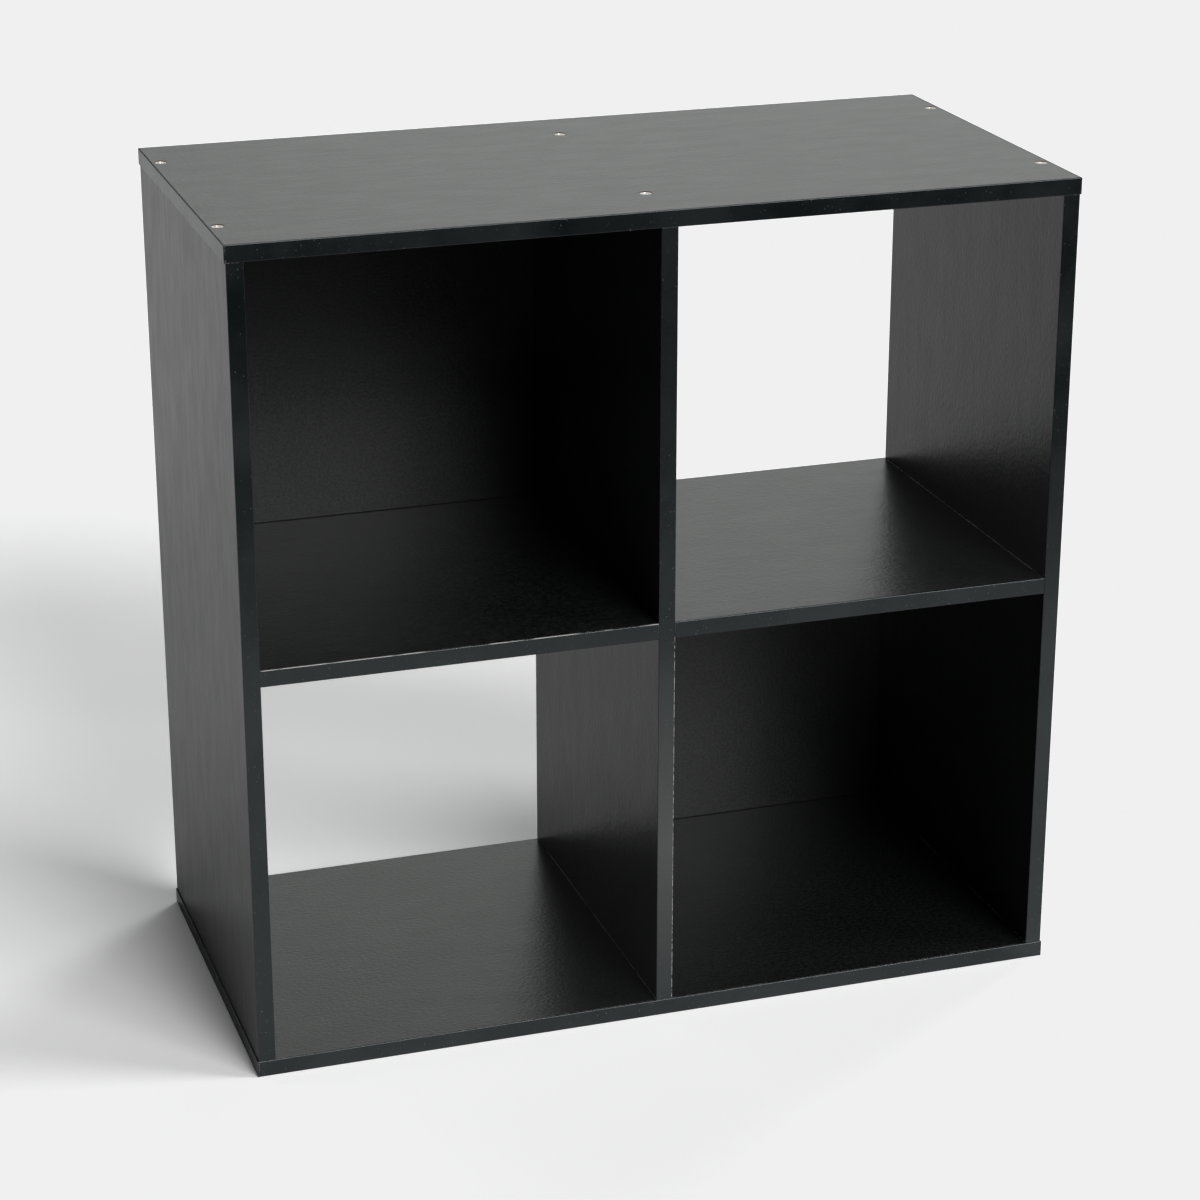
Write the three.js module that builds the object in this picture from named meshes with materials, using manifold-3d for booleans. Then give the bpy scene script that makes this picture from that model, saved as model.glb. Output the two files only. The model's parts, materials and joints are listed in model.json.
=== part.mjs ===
// A flat-pack cube storage unit: two by two cubes of laminated particleboard.
// The upper left and lower right cubes have a thin back panel. The other two are open right through.
//
// Millimetres. +X is right, +Y is towards the back, +Z is up.
// The origin is on the floor, under the middle of the whole unit.

import * as THREE from 'three';
import { mergeVertices } from 'three/addons/utils/BufferGeometryUtils.js';
import Module from 'manifold-3d';

const wasm = await Module();
wasm.setup();

// Boards
const boardThickness = 12;
const boardLength = 602;
const boardDepth = 294;
const overallHeight = 600;

// Edge bands, glued to the front edges and to the ends of the top and bottom panels
const bandThickness = 1;
const bandCornerRadius = 0.6;
const bandCornerSegments = 3;

// Back panels, laid on the rear edges of the boards
const backThickness = 3;
const backOverlap = 5.5;

// Countersunk cross-recess screws through the top and bottom panels
const screwInset = 50;
const screwLength = 40;
const screwHeadRadius = 4;
const screwHeadRim = 0.3;
const screwShankRadius = 1.9;
const screwTipLength = 5;
const screwSink = 0.4;
const screwSegments = 32;
const recessSpan = 4.4;
const recessWidth = 1.1;
const recessDepth = 2;
const recessTaper = 0.35;

// Hardwood dowels that carry the shelves
const dowelInset = 60;
const dowelLength = 30;
const dowelRadius = 3;
const dowelChamfer = 1;
const dowelDepthInSide = 8;
const dowelSegments = 16;

// Panel pins that hold the backs
const pinInset = 2.75;
const pinSpacing = 190;
const pinLength = 18;
const pinShankRadius = 0.7;
const pinTipLength = 1.6;
const pinHeadRadius = 1.9;
const pinHeadThickness = 0.75;
const pinDomeRadius = 1.3;
const pinDomeHeight = 0.25;
const pinSegments = 16;

// Holes: the room round a fastener and past its end, and how far a cutter reaches out of the face it opens
const holeClearance = 0.25;
const holeEndRoom = 0.5;
const cutOverrun = 1;

// Planes that the boards share
const overallDepth = bandThickness + boardDepth + backThickness + pinHeadThickness;
const boardFront = -overallDepth / 2 + bandThickness;
const boardRear = boardFront + boardDepth;
const boardEnd = boardLength / 2;
const sideInner = boardEnd - boardThickness;
const dividerFace = boardThickness / 2;
const floorTop = boardThickness;
const topUnderside = overallHeight - boardThickness;
const shelfMiddle = overallHeight / 2;
const shelfUnderside = shelfMiddle - boardThickness / 2;
const shelfTop = shelfMiddle + boardThickness / 2;

const materials = {
  laminate: new THREE.MeshStandardMaterial({ color: 0x181a19, roughness: 0.31, metalness: 0 }),
  band: new THREE.MeshStandardMaterial({ color: 0x0b0e0f, roughness: 0.28, metalness: 0 }),
  back: new THREE.MeshStandardMaterial({ color: 0x181a19, roughness: 0.31, metalness: 0 }),
  steel: new THREE.MeshStandardMaterial({ color: 0xc9c7c0, roughness: 0.3, metalness: 1 }),
  beech: new THREE.MeshStandardMaterial({ color: 0xc8a26c, roughness: 0.7, metalness: 0 }),
};

// A closed three.js geometry as a manifold solid.
function toSolid(geometry) {
  const bare = geometry.clone();
  bare.deleteAttribute('normal');
  bare.deleteAttribute('uv');
  const merged = mergeVertices(bare);
  return new wasm.Manifold(
    new wasm.Mesh({
      numProp: 3,
      vertProperties: merged.attributes.position.array,
      triVerts: new Uint32Array(merged.index.array),
    }),
  );
}

// A manifold solid as a flat-shaded three.js geometry.
function toGeometry(solid) {
  const { vertProperties, triVerts } = solid.getMesh();
  const indexed = new THREE.BufferGeometry();
  indexed.setAttribute('position', new THREE.BufferAttribute(vertProperties, 3));
  indexed.setIndex(new THREE.BufferAttribute(triVerts, 1));
  const geometry = indexed.toNonIndexed();
  geometry.computeVertexNormals();
  return geometry;
}

// A solid turned about the Z axis from [radius, height] pairs, listed upwards from the axis to the axis.
function turned(profile, segments) {
  const points = profile.map(([radius, height]) => new THREE.Vector2(radius, height));
  return new THREE.LatheGeometry(points, segments).rotateX(Math.PI / 2);
}

function named(name, geometry, material) {
  const mesh = new THREE.Mesh(geometry, material);
  mesh.name = name;
  return mesh;
}

// Profiles of the fasteners and of their holes, with the axis along Z.
// A screw and a pin are driven down from Z = 0, and a dowel has its middle there.
function screwProfile() {
  const neck = -screwHeadRim - (screwHeadRadius - screwShankRadius);
  return [
    [0, -screwLength],
    [screwShankRadius, -screwLength + screwTipLength],
    [screwShankRadius, neck],
    [screwHeadRadius, -screwHeadRim],
    [screwHeadRadius, 0],
    [0, 0],
  ];
}

// The countersink's 45 degree cone goes on past the head, out through the face of the board.
function screwHoleProfile() {
  const shank = screwShankRadius + holeClearance;
  const head = screwHeadRadius + holeClearance;
  const neck = -screwHeadRim - (head - shank);
  const top = screwSink + cutOverrun;
  return [
    [0, -screwLength - holeEndRoom],
    [shank, -screwLength - holeEndRoom],
    [shank, neck],
    [shank + top - neck, top],
    [0, top],
  ];
}

function dowelProfile() {
  const half = dowelLength / 2;
  return [
    [0, -half],
    [dowelRadius - dowelChamfer, -half],
    [dowelRadius, -half + dowelChamfer],
    [dowelRadius, half - dowelChamfer],
    [dowelRadius - dowelChamfer, half],
    [0, half],
  ];
}

function dowelHoleProfile() {
  const half = dowelLength / 2 + holeEndRoom;
  const radius = dowelRadius + holeClearance;
  return [
    [0, -half],
    [radius, -half],
    [radius, half],
    [0, half],
  ];
}

function pinProfile() {
  return [
    [0, -pinLength],
    [pinShankRadius, -pinLength + pinTipLength],
    [pinShankRadius, 0],
    [pinHeadRadius, 0],
    [pinHeadRadius, pinHeadThickness - pinDomeHeight],
    [pinDomeRadius, pinHeadThickness],
    [0, pinHeadThickness],
  ];
}

function pinHoleProfile() {
  const radius = pinShankRadius + holeClearance;
  return [
    [0, -pinLength - holeEndRoom],
    [radius, -pinLength - holeEndRoom],
    [radius, cutOverrun],
    [0, cutOverrun],
  ];
}

// One arm of the cross recess: a blade that narrows towards its foot.
function recessBlade() {
  const footScale = 1 - recessTaper;
  const topScale = 1 + (recessTaper * cutOverrun) / recessDepth;
  const blade = new THREE.CylinderGeometry(topScale, footScale, recessDepth + cutOverrun, 4);
  const acrossFlats = Math.SQRT2;
  return blade
    .rotateY(Math.PI / 4)
    .scale(recessSpan / acrossFlats, 1, recessWidth / acrossFlats)
    .rotateX(Math.PI / 2)
    .translate(0, 0, (cutOverrun - recessDepth) / 2);
}

function screwGeometry() {
  const blade = recessBlade();
  return toGeometry(
    toSolid(turned(screwProfile(), screwSegments))
      .subtract(toSolid(blade))
      .subtract(toSolid(blade.clone().rotateZ(Math.PI / 2))),
  );
}

// Fasteners: where each one goes, and how it turns from its own Z axis.
const down = new THREE.Euler(0, 0, 0);
const up = new THREE.Euler(Math.PI, 0, 0);
const forward = new THREE.Euler(-Math.PI / 2, 0, 0);
const sideways = new THREE.Euler(0, Math.PI / 2, 0);

const screwRows = [
  ['front', boardFront + screwInset],
  ['rear', boardRear - screwInset],
];
const screwColumns = [
  ['left', -boardEnd + boardThickness / 2],
  ['centre', 0],
  ['right', boardEnd - boardThickness / 2],
];
const screwLevels = [
  ['top', overallHeight - screwSink, down],
  ['bottom', screwSink, up],
];
const screwPlaces = screwLevels.flatMap(([level, z, turn]) =>
  screwColumns.flatMap(([column, x]) =>
    screwRows.map(([row, y]) => ({
      name: `${level}_${column}_${row}_screw`,
      position: new THREE.Vector3(x, y, z),
      turn,
    })),
  ),
);

const sideDowelMiddle = sideInner + dowelDepthInSide - dowelLength / 2;
const dowelColumns = [
  ['left', -sideDowelMiddle],
  ['centre', 0],
  ['right', sideDowelMiddle],
];
const dowelRows = [
  ['front', boardFront + dowelInset],
  ['rear', boardRear - dowelInset],
];
const dowelPlaces = dowelColumns.flatMap(([column, x]) =>
  dowelRows.map(([row, y]) => ({
    name: `${column}_${row}_shelf_dowel`,
    position: new THREE.Vector3(x, y, shelfMiddle),
    turn: sideways,
  })),
);

// Back panels, as boxes: each covers its cube and laps over the rear edges of the boards round it.
const backPanels = [
  ['upper_left', -sideInner, -dividerFace, shelfTop, topUnderside],
  ['lower_right', dividerFace, sideInner, floorTop, shelfUnderside],
].map(([name, left, right, low, high]) => ({
  name,
  box: new THREE.Box3(
    new THREE.Vector3(left - backOverlap, boardRear, low - backOverlap),
    new THREE.Vector3(right + backOverlap, boardRear + backThickness, high + backOverlap),
  ),
}));

// Two pins along each edge of a back panel.
const pinPlaces = backPanels.flatMap(({ name, box }) => {
  const middle = box.getCenter(new THREE.Vector3());
  const reach = box.getSize(new THREE.Vector3()).multiplyScalar(0.5).subScalar(pinInset);
  const along = pinSpacing / 2;
  const offsets = {
    left_low: [-reach.x, -along],
    left_high: [-reach.x, along],
    right_low: [reach.x, -along],
    right_high: [reach.x, along],
    bottom_left: [-along, -reach.z],
    bottom_right: [along, -reach.z],
    top_left: [-along, reach.z],
    top_right: [along, reach.z],
  };
  return Object.entries(offsets).map(([place, [x, z]]) => ({
    name: `${name}_back_pin_${place}`,
    position: new THREE.Vector3(middle.x + x, box.max.y, middle.z + z),
    turn: forward,
  }));
});

// Every hole, joined into one tool: each fastener cuts whatever board it passes through.
function holeTool() {
  const kinds = [
    [screwPlaces, turned(screwHoleProfile(), screwSegments)],
    [dowelPlaces, turned(dowelHoleProfile(), dowelSegments)],
    [pinPlaces, turned(pinHoleProfile(), pinSegments)],
  ];
  const cutters = kinds.flatMap(([places, shape]) =>
    places.map(({ position, turn }) => {
      const matrix = new THREE.Matrix4().makeRotationFromEuler(turn).setPosition(position);
      return toSolid(shape.clone().applyMatrix4(matrix));
    }),
  );
  return cutters.reduce((joined, cutter) => joined.add(cutter));
}

const holes = holeTool();

// A rectangular board with its holes, placed by its own centre.
function board(name, box, material) {
  const size = box.getSize(new THREE.Vector3());
  const centre = box.getCenter(new THREE.Vector3());
  const blank = new THREE.BoxGeometry(size.x, size.y, size.z).translate(centre.x, centre.y, centre.z);
  const geometry = toGeometry(toSolid(blank).subtract(holes)).translate(-centre.x, -centre.y, -centre.z);
  const mesh = named(name, geometry, material);
  mesh.position.copy(centre);
  return mesh;
}

function carcassBoard(name, left, right, low, high) {
  const box = new THREE.Box3(
    new THREE.Vector3(left, boardFront, low),
    new THREE.Vector3(right, boardRear, high),
  );
  return board(name, box, materials.laminate);
}

// An edge band: a strip as wide as the board is thick, with its two outer corners rounded.
// Its outline lies in X and Y, with the glued side on Y = 0, and its length runs along Z.
function bandGeometry(length) {
  const half = boardThickness / 2;
  const r = bandCornerRadius;
  const outline = new THREE.Shape();
  outline.moveTo(-half, 0);
  outline.lineTo(half, 0);
  outline.lineTo(half, bandThickness - r);
  outline.absarc(half - r, bandThickness - r, r, 0, Math.PI / 2, false);
  outline.lineTo(-half + r, bandThickness);
  outline.absarc(-half + r, bandThickness - r, r, Math.PI / 2, Math.PI, false);
  outline.closePath();
  return new THREE.ExtrudeGeometry(outline, {
    depth: length,
    bevelEnabled: false,
    curveSegments: bandCornerSegments,
  });
}

// Glues a band along an edge: `start` is the middle of the first end, and `outward` is the way the edge faces.
function edgeBand(name, start, end, outward) {
  const along = new THREE.Vector3().subVectors(end, start);
  const length = along.length();
  along.normalize();
  const across = new THREE.Vector3().crossVectors(outward, along);
  const mesh = named(name, bandGeometry(length), materials.band);
  mesh.position.copy(start);
  mesh.quaternion.setFromRotationMatrix(new THREE.Matrix4().makeBasis(across, outward, along));
  return mesh;
}

const facingFront = new THREE.Vector3(0, -1, 0);

function levelFrontBand(name, left, right, middle) {
  const start = new THREE.Vector3(left, boardFront, middle);
  const end = new THREE.Vector3(right, boardFront, middle);
  return edgeBand(`${name}_front_band`, start, end, facingFront);
}

function uprightFrontBand(name, middle) {
  const start = new THREE.Vector3(middle, boardFront, floorTop);
  const end = new THREE.Vector3(middle, boardFront, topUnderside);
  return edgeBand(`${name}_front_band`, start, end, facingFront);
}

// A band on the end of the top or bottom panel. It also covers the end of that panel's front band.
function endBand(name, side, middle) {
  const start = new THREE.Vector3(side * boardEnd, boardFront - bandThickness, middle);
  const end = new THREE.Vector3(side * boardEnd, boardRear, middle);
  return edgeBand(`${name}_end_band`, start, end, new THREE.Vector3(side, 0, 0));
}

function carcass() {
  const group = new THREE.Group();
  group.add(
    carcassBoard('top_panel', -boardEnd, boardEnd, topUnderside, overallHeight),
    carcassBoard('bottom_panel', -boardEnd, boardEnd, 0, floorTop),
    carcassBoard('left_side_panel', -boardEnd, -sideInner, floorTop, topUnderside),
    carcassBoard('right_side_panel', sideInner, boardEnd, floorTop, topUnderside),
    carcassBoard('centre_divider', -dividerFace, dividerFace, floorTop, topUnderside),
    carcassBoard('left_shelf', -sideInner, -dividerFace, shelfUnderside, shelfTop),
    carcassBoard('right_shelf', dividerFace, sideInner, shelfUnderside, shelfTop),
  );
  return group;
}

function bands() {
  const topMiddle = overallHeight - boardThickness / 2;
  const bottomMiddle = boardThickness / 2;
  const sideMiddle = boardEnd - boardThickness / 2;
  const group = new THREE.Group();
  group.add(
    levelFrontBand('top', -boardEnd, boardEnd, topMiddle),
    levelFrontBand('bottom', -boardEnd, boardEnd, bottomMiddle),
    levelFrontBand('left_shelf', -sideInner, -dividerFace, shelfMiddle),
    levelFrontBand('right_shelf', dividerFace, sideInner, shelfMiddle),
    uprightFrontBand('left_side', -sideMiddle),
    uprightFrontBand('divider', 0),
    uprightFrontBand('right_side', sideMiddle),
    endBand('top_left', -1, topMiddle),
    endBand('top_right', 1, topMiddle),
    endBand('bottom_left', -1, bottomMiddle),
    endBand('bottom_right', 1, bottomMiddle),
  );
  return group;
}

function backs() {
  const group = new THREE.Group();
  for (const { name, box } of backPanels) {
    group.add(board(`${name}_back_panel`, box, materials.back));
  }
  return group;
}

function fasteners(places, geometry, material) {
  const group = new THREE.Group();
  for (const { name, position, turn } of places) {
    const mesh = named(name, geometry, material);
    mesh.position.copy(position);
    mesh.rotation.copy(turn);
    group.add(mesh);
  }
  return group;
}

const unit = new THREE.Group();
unit.add(
  carcass(),
  bands(),
  backs(),
  fasteners(screwPlaces, screwGeometry(), materials.steel),
  fasteners(dowelPlaces, turned(dowelProfile(), dowelSegments), materials.beech),
  fasteners(pinPlaces, turned(pinProfile(), pinSegments), materials.steel),
);

export default unit;
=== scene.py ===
"""A black cube storage unit: its looks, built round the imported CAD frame.

Metres, in the frame's own axes: +X right, +Y to the back, +Z up, with the floor at Z = 0.
"""

import json
import math

import bpy
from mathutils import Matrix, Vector


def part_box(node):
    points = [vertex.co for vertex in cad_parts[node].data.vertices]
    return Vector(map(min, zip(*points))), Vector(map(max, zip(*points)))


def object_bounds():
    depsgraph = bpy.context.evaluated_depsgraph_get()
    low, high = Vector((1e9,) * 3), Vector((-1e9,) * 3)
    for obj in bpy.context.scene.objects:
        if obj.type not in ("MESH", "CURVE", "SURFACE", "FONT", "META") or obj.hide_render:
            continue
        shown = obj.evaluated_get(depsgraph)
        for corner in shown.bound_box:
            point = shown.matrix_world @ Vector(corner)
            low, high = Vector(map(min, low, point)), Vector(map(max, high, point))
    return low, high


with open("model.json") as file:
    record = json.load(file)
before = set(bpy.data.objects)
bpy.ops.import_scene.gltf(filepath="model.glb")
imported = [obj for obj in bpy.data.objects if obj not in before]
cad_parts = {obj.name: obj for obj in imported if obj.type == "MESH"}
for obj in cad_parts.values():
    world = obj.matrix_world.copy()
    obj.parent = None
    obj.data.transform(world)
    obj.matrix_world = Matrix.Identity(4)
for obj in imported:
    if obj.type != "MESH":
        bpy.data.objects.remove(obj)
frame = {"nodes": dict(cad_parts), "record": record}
cad_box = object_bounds()
MIDDLE = (cad_box[0] + cad_box[1]) / 2

# The camera, round the middle of the unit
CAMERA_AZIMUTH = math.radians(-18.17)
CAMERA_ELEVATION = math.radians(20.67)
CAMERA_DISTANCE = 2.373
CAMERA_AIM = Vector((-0.0034, -0.0095, -0.0266))
CAMERA_LENS = 96.4
CAMERA_SENSOR = 36

# The studio's lights, all far off: azimuth, elevation and spread in degrees, strength and colour.
# Azimuth 0 is in front of the unit, and 90 is at its right.
WHITE = (1.0, 1.0, 1.0)
GREENISH = (0.97, 1.0, 0.98)
STUDIO_LIGHTS = {
    "front": (10, 32, 20, 1.37, WHITE),
    "front_right": (30, 20, 24, 1.40, WHITE),
    "right": (70, 22, 24, 1.87, WHITE),
    "rear_right": (130, 28, 24, 0.87, GREENISH),
    "rear": (160, 22, 34, 0.28, GREENISH),
    "rear_left": (215, 30, 24, 0.14, WHITE),
}
LAMP_DISTANCE = 3

# The floor: it ends a little way in front of the unit, and the camera sees it lifted to the white of paper
FLOOR_SIZE = (8.0, 7.0)
FLOOR_PLACE = (0.0, 2.45)
FLOOR_ALBEDO = 0.80
FLOOR_GAIN = 1.6
FLOOR_GLOW = 0.05
PAPER_WHITE = 0.871

# Chamfers: on a board along its straight edges only, which are longer than the facets of its holes' rims,
# and on a band along all of its sharp edges
BOARD_CHAMFER = 0.00025
BAND_CHAMFER = 0.0002
CHAMFER_SEGMENTS = 2
STRAIGHT_LENGTH = 0.006
SHARP_ANGLE = math.radians(60)
FLAT_ANGLE = math.radians(1)
WELD_DISTANCE = 0.00001
SHADING_WEIGHT = 100

# A normal's largest part is above this on a face that is square to an axis
SQUARE = 0.99

# Finishes. Colours are linear. A noise is given by its size in metres and its detail, and a grained one
# also by how many times it is drawn out along the board. Limits are the two values of a noise between
# which one look changes to the other, and a pair of roughnesses goes with the two limits.
LAMINATE_DARK = (0.0045, 0.0054, 0.0050, 1)
LAMINATE_PALE = (0.0125, 0.0141, 0.0134, 1)
LAMINATE_MOTTLE = (0.0024, 3, 1.3)
LAMINATE_MOTTLE_LIMITS = (0.36, 0.64)
LAMINATE_STREAKS = (0.0030, 3, 12)
LAMINATE_CLOUDS = (0.015, 2, 3)
LAMINATE_GLOSS_LIMITS = (0.40, 0.60)
LAMINATE_ROUGHNESS = {"X": (0.325, 0.295), "Z": (0.335, 0.285)}
LAMINATE_RELIEF = 0.00019
LAMINATE_TINT = (0.98, 1.0, 0.98, 1)

CHIPBOARD_DARK = (0.035, 0.021, 0.013, 1)
CHIPBOARD_PALE = (0.17, 0.11, 0.07, 1)
CHIPBOARD_PARTICLES = (0.0012, 3)
CHIPBOARD_LIMITS = (0.35, 0.65)

# The boards whose paper is chipped beside a sawn end: the end's axis, and its place along it
SAWN_ENDS = {
    "right_shelf": ("X", 0.289),
    "centre_divider": ("Z", 0.012),
    "right_side_panel": ("Z", 0.012),
}
SAWN_PALE = (0.80, 0.76, 0.70, 1)
SAWN_WIDTH = 0.0012
SAWN_CHIPS = (0.0016, 2)
SAWN_CHIP_LIMITS = (0.40, 0.50)
SAWN_STRETCHES = (0.06, 1)
SAWN_STRETCH_LIMITS = (0.36, 0.50)
SAWN_LEAST = 0.2

# The boards' edges are chipped only in some stretches, which are read from that place in their noise
EDGE_DARK = (0.003, 0.003, 0.003, 1)
EDGE_PALE = (0.15, 0.145, 0.14, 1)
EDGE_CHIPS = (0.0011, 2)
EDGE_CHIP_LIMITS = (0.46, 0.54)
EDGE_STRETCHES = (0.10, 1)
EDGE_STRETCH_LIMITS = (0.38, 0.55)
EDGE_STRETCH_PLACE = (3, 5, 1)
EDGE_ROUGHNESS = 0.7
EDGE_GLOSS = 0.15

BAND_DARK = (0.0010, 0.0026, 0.0030, 1)
BAND_PALE = (0.0080, 0.0102, 0.0106, 1)
BAND_CLOUDS = (0.06, 3)
BAND_CLOUD_LIMITS = (0.3, 0.7)
BAND_ROUGHNESS = (0.25, 0.30)
BAND_GRAIN = (0.0009, 2)
BAND_RELIEF = 0.00003
BAND_SPECK = (0.10, 0.11, 0.11, 1)
BAND_SPECKS = (0.0011, 0)
BAND_SPECK_LIMITS = (0.80, 0.83)
BAND_IOR = 1.6
BAND_TINT = (0.90, 1.0, 1.0, 1)

# Painted reflection: the divider's band is painted grey round one height, standing in for the bright floor
# reflected in it. Two bands have a painted highlight, a pale line along the corner that is turned to an
# axis by at least so much, between two heights, and a noise breaks it into pieces.
PAINTED_REFLECTION_GREY = (0.048, 0.048, 0.047, 1)
REFLECTION_HEIGHT = 0.138
REFLECTION_REACH = 0.15
# Painted highlight: the pale colour of the line on a band's corner, its noise limits, and where each band
# has it
PAINTED_HIGHLIGHT_PALE = (0.42, 0.41, 0.39, 1)
HIGHLIGHT_LINE_LIMITS = (0.42, 0.54)
DIVIDER_HIGHLIGHT_LINE = {"axis": "X", "turned": 0.15, "heights": (0.013, 0.294), "pieces": (0.0014, 1)}
LEFT_SHELF_HIGHLIGHT_LINE = {"axis": "Z", "turned": 0.6, "heights": (0.294, 0.306), "pieces": (0.02, 1)}

BACK_FIBRES = (0.0018, 3, 1.3)
BACK_LIMITS = (0.42, 0.58)
BACK_RELIEF = 0.00012
HARDBOARD_DARK = (0.13, 0.07, 0.035, 1)
HARDBOARD_PALE = (0.24, 0.14, 0.075, 1)
HARDBOARD_GRAIN = (0.0015, 3)

# Painted shade: a near-black line on a back panel where the gap to the board at its foot would hold shade,
# at the heights of those boards' tops
PAINTED_GAP_SHADE = (0.0008, 0.0008, 0.0008, 1)
GAP_HEIGHTS = (0.012, 0.306)
GAP_WIDTH = 0.0006

STEEL_DULL = (0.38, 0.34, 0.29, 1)
STEEL_BRIGHT = (0.84, 0.82, 0.78, 1)
STEEL_SPOTS = (0.0011, 3)
STEEL_LIMITS = (0.38, 0.60)
STEEL_GLOSS_LIMITS = (0.3, 0.7)
STEEL_ROUGHNESS = (0.40, 0.22)
STEEL_RELIEF = 0.00006

BEECH_DARK = (0.46, 0.28, 0.13, 1)
BEECH_PALE = (0.66, 0.46, 0.26, 1)
BEECH_FIBRES = (0.0006, 4, 20)
BEECH_LIMITS = (0.3, 0.7)
BEECH_ROUGHNESS = 0.62
BEECH_RELIEF = 0.00005


def direction(azimuth, elevation):
    """The way from the middle towards a viewer or light at that place, azimuth 0 being in front."""
    level = math.cos(elevation)
    return Vector((math.sin(azimuth) * level, -math.cos(azimuth) * level, math.sin(elevation)))


# Node trees

def node(tree, kind, inputs=None, family="ShaderNode", **settings):
    """Adds a node. An input is a value, or the output socket of another node."""
    made = tree.nodes.new(family + kind)
    for name, value in settings.items():
        setattr(made, name, value)
    for name, value in (inputs or {}).items():
        if isinstance(value, bpy.types.NodeSocket):
            tree.links.new(value, made.inputs[name])
        else:
            made.inputs[name].default_value = value
    return made


def calculate(tree, operation, *values):
    return node(tree, "Math", dict(enumerate(values)), operation=operation).outputs["Value"]


def product(tree, first, *others):
    result = first
    for factor in others:
        result = calculate(tree, "MULTIPLY", result, factor)
    return result


def average(tree, first, second):
    return product(tree, calculate(tree, "ADD", first, second), 0.5)


def remap(tree, value, limits, results=(0, 1)):
    """Takes what lies between the limits to between the results, and holds what lies outside."""
    inputs = {
        "Value": value,
        "From Min": limits[0],
        "From Max": limits[1],
        "To Min": results[0],
        "To Max": results[1],
    }
    return node(tree, "MapRange", inputs).outputs["Result"]


def blend_colours(tree, factor, first, second):
    """The first colour where the factor is 0, the second where it is 1."""
    # A Mix node takes colours at its sockets 6 and 7, and gives one at socket 2
    mix = node(tree, "Mix", {0: factor, 6: first, 7: second}, data_type="RGBA")
    return mix.outputs[2]


def object_place(tree):
    """The place on the piece, in metres from its own origin."""
    return node(tree, "TexCoord").outputs["Object"]


def place_along(tree, axis):
    return node(tree, "SeparateXYZ", {"Vector": object_place(tree)}).outputs[axis]


def facing(tree, axis):
    """1 on a face that looks along the axis, -1 on one that looks against it, 0 on one beside it."""
    normal = node(tree, "NewGeometry").outputs["True Normal"]
    return node(tree, "SeparateXYZ", {"Vector": normal}).outputs[axis]


def slanted(tree):
    """1 on faces that aren't square to an axis, which on a board are the walls of its holes."""
    parts = [calculate(tree, "ABSOLUTE", facing(tree, axis)) for axis in "XYZ"]
    largest = calculate(tree, "MAXIMUM", calculate(tree, "MAXIMUM", parts[0], parts[1]), parts[2])
    return calculate(tree, "LESS_THAN", largest, SQUARE)


def noise(tree, size, detail, stretch=(1, 1, 1), place=(0, 0, 0)):
    """Noise of about that size in metres, read from a place, and drawn out along each axis by stretch."""
    scale = [1 / (size * factor) for factor in stretch]
    mapping = node(tree, "Mapping", {"Vector": object_place(tree), "Location": place, "Scale": scale})
    texture = node(tree, "TexNoise", {"Vector": mapping.outputs["Vector"], "Scale": 1.0, "Detail": detail})
    return texture.outputs["Fac"]


def grained_noise(tree, grain, size, detail, stretch):
    """Noise drawn out along the grain's axis."""
    return noise(tree, size, detail, [stretch if axis == grain else 1 for axis in "XYZ"])


def bump(tree, height, distance):
    return node(tree, "Bump", {"Height": height, "Distance": distance}).outputs["Normal"]


def grey(value):
    return (value, value, value, 1)


def new_material(name):
    material = bpy.data.materials.new(name)
    material.use_nodes = True
    material.node_tree.nodes.clear()
    return material, material.node_tree


def finish_material(tree, **inputs):
    """Ends a material in a Principled shader. Its inputs are named with _ in place of each space."""
    named = {key.replace("_", " "): value for key, value in inputs.items()}
    shader = node(tree, "BsdfPrincipled", named)
    node(tree, "OutputMaterial", {"Surface": shader.outputs["BSDF"]})


# Materials

def chipboard_colour(tree):
    particles = remap(tree, noise(tree, *CHIPBOARD_PARTICLES), CHIPBOARD_LIMITS)
    return blend_colours(tree, particles, CHIPBOARD_DARK, CHIPBOARD_PALE)


def sawn_line(tree, axis, end):
    """A broken line on a board's wide faces, beside its sawn end at that place along the axis."""
    beside = calculate(tree, "COMPARE", place_along(tree, axis), end, SAWN_WIDTH)
    wide_face = calculate(tree, "LESS_THAN", facing(tree, "Y"), SQUARE)
    chips = remap(tree, noise(tree, *SAWN_CHIPS), SAWN_CHIP_LIMITS)
    stretches = remap(tree, noise(tree, *SAWN_STRETCHES), SAWN_STRETCH_LIMITS, (SAWN_LEAST, 1))
    return product(tree, beside, wide_face, chips, stretches)


def laminate_material(name, grain, sawn_end=None):
    """Black melamine paper with faint streaks and an orange-peel skin, and raw chipboard in its holes."""
    material, tree = new_material(name)
    mottle = grained_noise(tree, grain, *LAMINATE_MOTTLE)
    tone = remap(tree, mottle, LAMINATE_MOTTLE_LIMITS)
    colour = blend_colours(tree, tone, LAMINATE_DARK, LAMINATE_PALE)
    if sawn_end is not None:
        colour = blend_colours(tree, sawn_line(tree, *sawn_end), colour, SAWN_PALE)
    colour = blend_colours(tree, slanted(tree), colour, chipboard_colour(tree))
    streaks = grained_noise(tree, grain, *LAMINATE_STREAKS)
    clouds = grained_noise(tree, grain, *LAMINATE_CLOUDS)
    gloss = average(tree, streaks, clouds)
    roughness = remap(tree, gloss, LAMINATE_GLOSS_LIMITS, LAMINATE_ROUGHNESS[grain])
    normal = bump(tree, mottle, LAMINATE_RELIEF)
    finish_material(
        tree, Base_Color=colour, Roughness=roughness, Normal=normal, Specular_Tint=LAMINATE_TINT
    )
    return material


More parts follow.
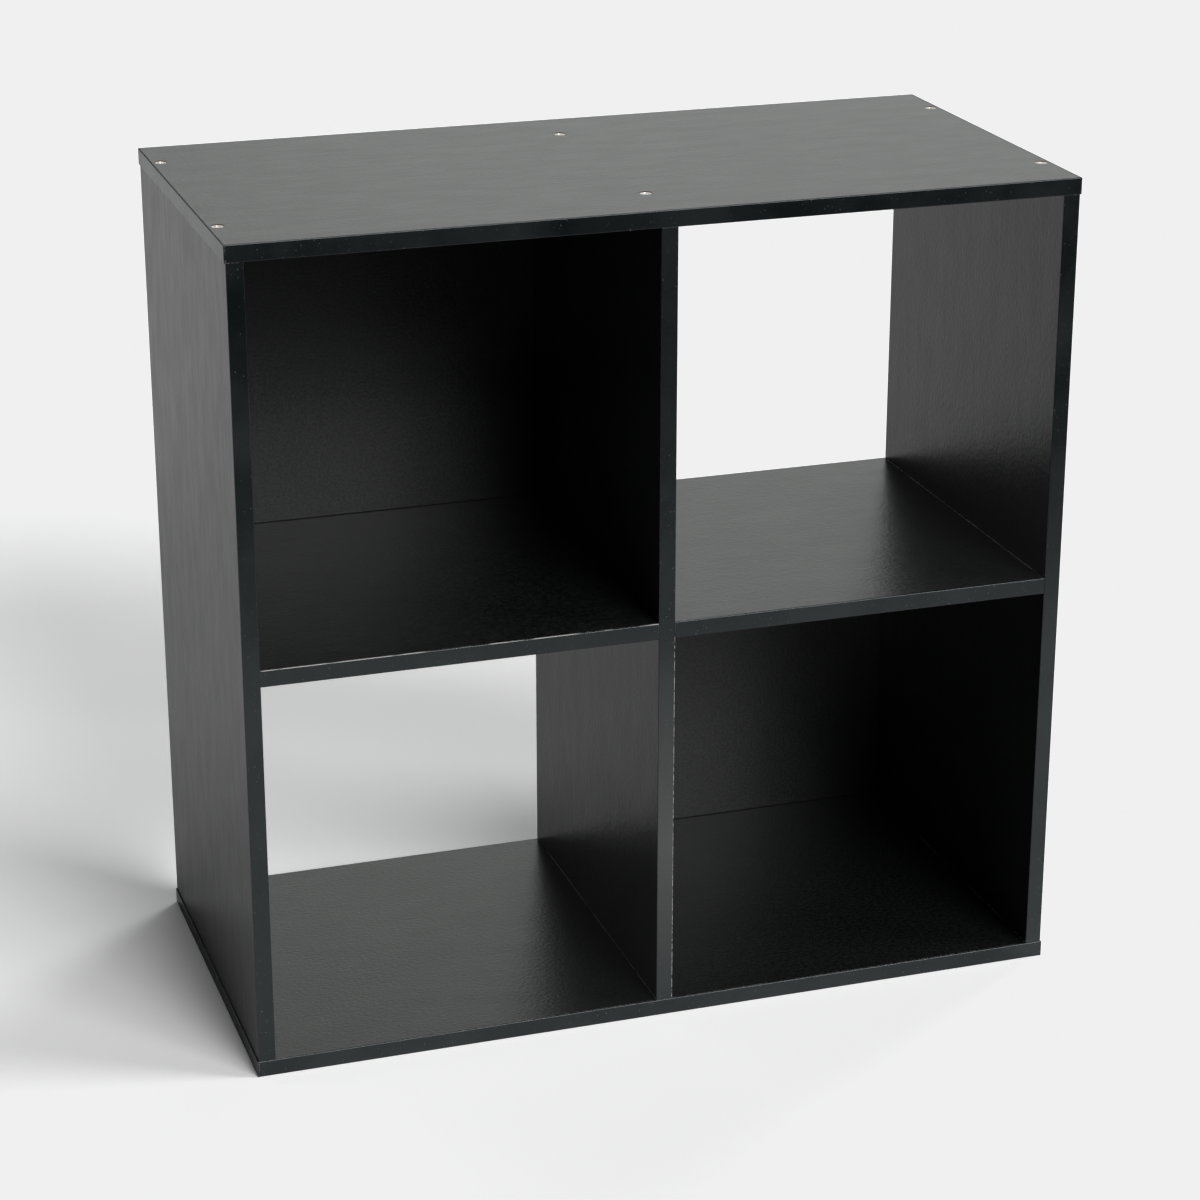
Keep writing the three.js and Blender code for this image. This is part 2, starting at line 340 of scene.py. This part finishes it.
def edge_material():
    """The thin corners of the laminate: dark at the back, and dotted with pale chips towards the front."""
    material, tree = new_material("laminate_edge")
    chips = remap(tree, noise(tree, *EDGE_CHIPS), EDGE_CHIP_LIMITS)
    stretches = remap(tree, noise(tree, *EDGE_STRETCHES, place=EDGE_STRETCH_PLACE), EDGE_STRETCH_LIMITS)
    front_half = calculate(tree, "LESS_THAN", place_along(tree, "Y"), 0)
    colour = blend_colours(tree, product(tree, chips, stretches, front_half), EDGE_DARK, EDGE_PALE)
    finish_material(tree, Base_Color=colour, Roughness=EDGE_ROUGHNESS, Specular_IOR_Level=EDGE_GLOSS)
    return material


def painted_highlight_line(tree, axis, turned, heights, pieces):
    """A painted highlight: a broken pale line along the corner of a band."""
    height = place_along(tree, "Z")
    return product(
        tree,
        remap(tree, noise(tree, *pieces), HIGHLIGHT_LINE_LIMITS),
        calculate(tree, "GREATER_THAN", facing(tree, axis), turned),
        calculate(tree, "GREATER_THAN", height, heights[0]),
        calculate(tree, "LESS_THAN", height, heights[1]),
    )


def band_material(name, reflection_height=None, highlight_line=None):
    """Smooth blue-black plastic with a few pale specks, and where asked a painted reflection and a painted
    highlight line.
    """
    material, tree = new_material(name)
    clouds = noise(tree, *BAND_CLOUDS)
    colour = blend_colours(tree, remap(tree, clouds, BAND_CLOUD_LIMITS), BAND_DARK, BAND_PALE)
    # Painted reflection: grey fading out from one height, standing in for the bright floor reflected in
    # the band
    if reflection_height is not None:
        away = calculate(tree, "SUBTRACT", place_along(tree, "Z"), reflection_height)
        reflection_fade = remap(tree, calculate(tree, "ABSOLUTE", away), (0, REFLECTION_REACH), (1, 0))
        colour = blend_colours(tree, reflection_fade, colour, PAINTED_REFLECTION_GREY)
    specks = remap(tree, noise(tree, *BAND_SPECKS), BAND_SPECK_LIMITS)
    colour = blend_colours(tree, specks, colour, BAND_SPECK)
    # Painted highlight: a pale broken line along one corner of the band
    if highlight_line is not None:
        colour = blend_colours(tree, painted_highlight_line(tree, **highlight_line), colour, PAINTED_HIGHLIGHT_PALE)
    roughness = remap(tree, clouds, BAND_CLOUD_LIMITS, BAND_ROUGHNESS)
    normal = bump(tree, noise(tree, *BAND_GRAIN), BAND_RELIEF)
    finish_material(
        tree, Base_Color=colour, Roughness=roughness, Normal=normal, IOR=BAND_IOR, Specular_Tint=BAND_TINT
    )
    return material


def painted_gap_shade_line(tree):
    """Painted shade: a dark line on the front of a back panel, along the board at its foot."""
    height = place_along(tree, "Z")
    beside = [calculate(tree, "COMPARE", height, board_top, GAP_WIDTH) for board_top in GAP_HEIGHTS]
    front = calculate(tree, "LESS_THAN", facing(tree, "Y"), 0)
    return product(tree, calculate(tree, "MAXIMUM", *beside), front)


def back_material():
    """Black-faced hardboard with a painted shade line at its foot: its thin edges and its holes show the
    brown board.
    """
    material, tree = new_material("back_board")
    fibres = grained_noise(tree, "X", *BACK_FIBRES)
    tone = remap(tree, fibres, BACK_LIMITS)
    gap_shade = painted_gap_shade_line(tree)
    black = blend_colours(tree, tone, LAMINATE_DARK, LAMINATE_PALE)
    # Painted shade: near black along the line where the gap at the panel's foot would be in shade
    black = blend_colours(tree, gap_shade, black, PAINTED_GAP_SHADE)
    bare = calculate(tree, "LESS_THAN", calculate(tree, "ABSOLUTE", facing(tree, "Y")), SQUARE)
    brown = blend_colours(tree, noise(tree, *HARDBOARD_GRAIN), HARDBOARD_DARK, HARDBOARD_PALE)
    colour = blend_colours(tree, bare, black, brown)
    # The painted shade line is also made fully rough, so it loses its sheen
    roughness = calculate(tree, "MAXIMUM", remap(tree, tone, (0, 1), LAMINATE_ROUGHNESS["X"]), gap_shade)
    normal = bump(tree, fibres, BACK_RELIEF)
    finish_material(
        tree, Base_Color=colour, Roughness=roughness, Normal=normal, Specular_Tint=LAMINATE_TINT
    )
    return material


def steel_material():
    """Bright zinc plate, uneven and stained in places."""
    material, tree = new_material("zinc_steel")
    spots = noise(tree, *STEEL_SPOTS)
    colour = blend_colours(tree, remap(tree, spots, STEEL_LIMITS), STEEL_DULL, STEEL_BRIGHT)
    roughness = remap(tree, spots, STEEL_GLOSS_LIMITS, STEEL_ROUGHNESS)
    normal = bump(tree, spots, STEEL_RELIEF)
    finish_material(tree, Base_Color=colour, Metallic=1.0, Roughness=roughness, Normal=normal)
    return material


def beech_material():
    """Turned beech, with its grain along the dowel."""
    material, tree = new_material("beech")
    fibres = grained_noise(tree, "X", *BEECH_FIBRES)
    colour = blend_colours(tree, remap(tree, fibres, BEECH_LIMITS), BEECH_DARK, BEECH_PALE)
    normal = bump(tree, fibres, BEECH_RELIEF)
    finish_material(tree, Base_Color=colour, Roughness=BEECH_ROUGHNESS, Normal=normal)
    return material


# The unit

def dress(piece, *materials):
    """Gives a piece its materials in place of the CAD's."""
    piece.data.materials.clear()
    for material in materials:
        piece.data.materials.append(material)


def straight_edge_marker():
    """Nodes that mark a board's long sharp edges for its chamfers, and leave out the rims of its holes."""
    tree = bpy.data.node_groups.new("mark_straight_edges", "GeometryNodeTree")
    for way in ("INPUT", "OUTPUT"):
        tree.interface.new_socket("Geometry", in_out=way, socket_type="NodeSocketGeometry")
    entry = node(tree, "GroupInput", family="Node")
    ends = node(tree, "InputMeshEdgeVertices", family="GeometryNode")
    places = {0: ends.outputs["Position 1"], 1: ends.outputs["Position 2"]}
    length = node(tree, "VectorMath", places, operation="DISTANCE").outputs["Value"]
    angle = node(tree, "InputMeshEdgeAngle", family="GeometryNode").outputs["Unsigned Angle"]
    straight = calculate(tree, "GREATER_THAN", length, STRAIGHT_LENGTH)
    sharp = calculate(tree, "GREATER_THAN", angle, SHARP_ANGLE)
    marks = {
        "Geometry": entry.outputs[0],
        "Name": "bevel_weight_edge",
        "Value": product(tree, straight, sharp),
    }
    marked = node(tree, "StoreNamedAttribute", marks, family="GeometryNode", domain="EDGE")
    node(tree, "GroupOutput", {0: marked.outputs[0]}, family="Node")
    return tree


def chamfer_edges(piece, width, marker=None):
    """Gives a piece fine chamfers of its second material, and smooths the shading over them.

    They go along the edges that the marker marks, or along all sharp edges where there is no marker.
    """
    weld = piece.modifiers.new("weld", "WELD")
    weld.merge_threshold = WELD_DISTANCE
    flat = piece.modifiers.new("flat", "DECIMATE")
    flat.decimate_type = "DISSOLVE"
    flat.angle_limit = FLAT_ANGLE
    if marker is not None:
        marks = piece.modifiers.new("marks", "NODES")
        marks.node_group = marker
    chamfer = piece.modifiers.new("chamfer", "BEVEL")
    chamfer.width = width
    chamfer.segments = CHAMFER_SEGMENTS
    chamfer.limit_method = "ANGLE" if marker is None else "WEIGHT"
    chamfer.angle_limit = SHARP_ANGLE
    chamfer.material = 1
    shading = piece.modifiers.new("shading", "WEIGHTED_NORMAL")
    shading.weight = SHADING_WEIGHT


def board_laminate(part, plain_laminates):
    """The laminate of a board, with its grain along the board's longer side."""
    low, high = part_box(part["node"])
    grain = "Z" if high.z - low.z > high.x - low.x else "X"
    sawn_end = SAWN_ENDS.get(part["node"])
    if sawn_end is None:
        return plain_laminates[grain]
    return laminate_material("laminate_" + part["node"], grain, sawn_end)


def dress_frame():
    """Dresses every CAD node by its slot in the record."""
    plain_laminates = {axis: laminate_material("laminate_grain_" + axis.lower(), axis) for axis in "XZ"}
    straight_edges = straight_edge_marker()
    edge = edge_material()
    band = band_material("edge_band")
    # The divider's band has a painted reflection and a painted highlight line, and the left shelf's band a
    # painted highlight line
    marked_bands = {
        "divider_front_band": band_material("edge_band_painted_reflection", REFLECTION_HEIGHT, DIVIDER_HIGHLIGHT_LINE),
        "left_shelf_front_band": band_material("edge_band_painted_highlight", None, LEFT_SHELF_HIGHLIGHT_LINE),
    }
    plain = {
        "back_board": back_material(),
        "zinc_steel": steel_material(),
        "beech": beech_material(),
    }
    for part in frame["record"]["subparts"]:
        piece = frame["nodes"][part["node"]]
        slot = part["material_slot"]
        if slot == "laminated_board":
            dress(piece, board_laminate(part, plain_laminates), edge)
            chamfer_edges(piece, BOARD_CHAMFER, straight_edges)
        elif slot == "edge_band":
            dress(piece, marked_bands.get(part["node"], band), edge)
            chamfer_edges(piece, BAND_CHAMFER)
        else:
            dress(piece, plain[slot])


# The studio

def studio_floor():
    """A matt floor. The camera, and nothing else, sees it brighter than the light on it."""
    bpy.ops.mesh.primitive_plane_add(size=1, location=(*FLOOR_PLACE, 0))
    floor = bpy.context.object
    floor.name = "studio_floor"
    floor.scale = (*FLOOR_SIZE, 1)
    material, tree = new_material("studio_floor")
    lit = node(tree, "BsdfDiffuse", {"Color": grey(FLOOR_ALBEDO)})
    seen = node(tree, "BsdfDiffuse", {"Color": grey(FLOOR_ALBEDO * FLOOR_GAIN)})
    glow = node(tree, "Emission", {"Strength": FLOOR_GLOW})
    lifted = node(tree, "AddShader", {0: seen.outputs[0], 1: glow.outputs[0]})
    ray = node(tree, "LightPath").outputs["Is Camera Ray"]
    surface = node(tree, "MixShader", {0: ray, 1: lit.outputs[0], 2: lifted.outputs[0]})
    node(tree, "OutputMaterial", {"Surface": surface.outputs[0]})
    floor.data.materials.append(material)


def studio_backdrop():
    """A world that the camera sees all white, and that gives no light."""
    world = bpy.data.worlds.new("studio_backdrop")
    world.use_nodes = True
    tree = world.node_tree
    tree.nodes.clear()
    ray = node(tree, "LightPath").outputs["Is Camera Ray"]
    background = node(tree, "Background", {"Color": grey(1), "Strength": ray})
    node(tree, "OutputWorld", {"Surface": background.outputs[0]})
    bpy.context.scene.world = world


def studio_lights():
    for name, (azimuth, elevation, spread, strength, colour) in STUDIO_LIGHTS.items():
        light = bpy.data.lights.new(name, "SUN")
        light.energy = strength
        light.color = colour
        light.angle = math.radians(spread)
        lamp = bpy.data.objects.new(name, light)
        towards = direction(math.radians(azimuth), math.radians(elevation))
        lamp.location = towards * LAMP_DISTANCE
        lamp.rotation_euler = towards.to_track_quat("Z", "Y").to_euler()
        bpy.context.scene.collection.objects.link(lamp)


def studio_camera():
    data = bpy.data.cameras.new("camera")
    data.sensor_width = CAMERA_SENSOR
    data.lens = CAMERA_LENS
    camera = bpy.data.objects.new("camera", data)
    back = direction(CAMERA_AZIMUTH, CAMERA_ELEVATION)
    camera.location = MIDDLE + CAMERA_AIM + back * CAMERA_DISTANCE
    camera.rotation_euler = (-back).to_track_quat("-Z", "Y").to_euler()
    bpy.context.scene.collection.objects.link(camera)
    bpy.context.scene.camera = camera


def paper_white():
    """Shows colours as they are, with everything brighter than the paper held at the paper's white."""
    view = bpy.context.scene.view_settings
    view.view_transform = "Standard"
    view.use_curve_mapping = True
    mapping = view.curve_mapping
    mapping.use_clip = False
    mapping.extend = "HORIZONTAL"
    # The last curve acts on red, green and blue together
    combined = mapping.curves[-1]
    combined.points[0].location = (0, 0)
    combined.points[-1].location = (PAPER_WHITE, PAPER_WHITE)
    for point in combined.points:
        point.handle_type = "VECTOR"
    mapping.update()


dress_frame()
studio_floor()
studio_backdrop()
studio_lights()
studio_camera()
paper_white()
